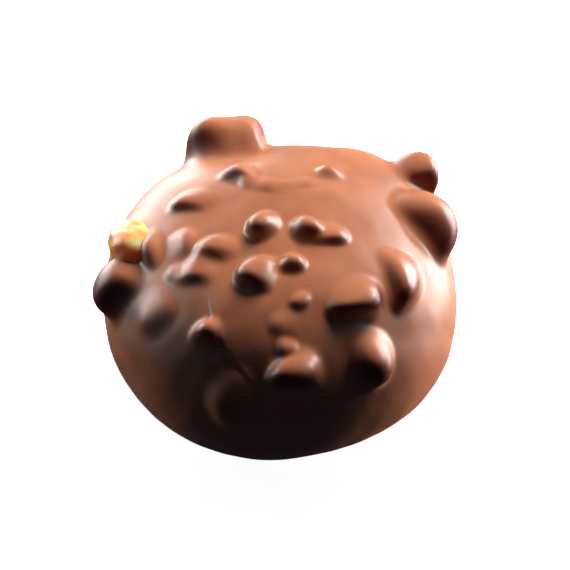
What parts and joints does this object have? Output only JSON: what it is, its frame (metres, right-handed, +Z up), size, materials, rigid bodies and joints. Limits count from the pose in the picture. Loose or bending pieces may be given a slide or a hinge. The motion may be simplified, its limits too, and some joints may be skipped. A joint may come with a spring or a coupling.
{
  "type": "chocolate bonbon with chopped nuts",
  "caption": "Round milk chocolate bonbon, dipped whole and flat underneath, its glossy coat lumpy with chopped nuts.",
  "frame": {"origin": "middle of the flat foot that the sweet stands on, straight under the centre of the dipped ball", "axes": "+Z up through the top, -Y towards the side with the most nuts, +X to the right seen from that side"},
  "size_m": [0.0314, 0.0315, 0.0203],
  "materials": {
    "chocolate": "glossy tempered milk chocolate coat over chopped nuts"
  },
  "bodies": {
    "root": {"bonbon": "chocolate"}
  },
  "joints": []
}
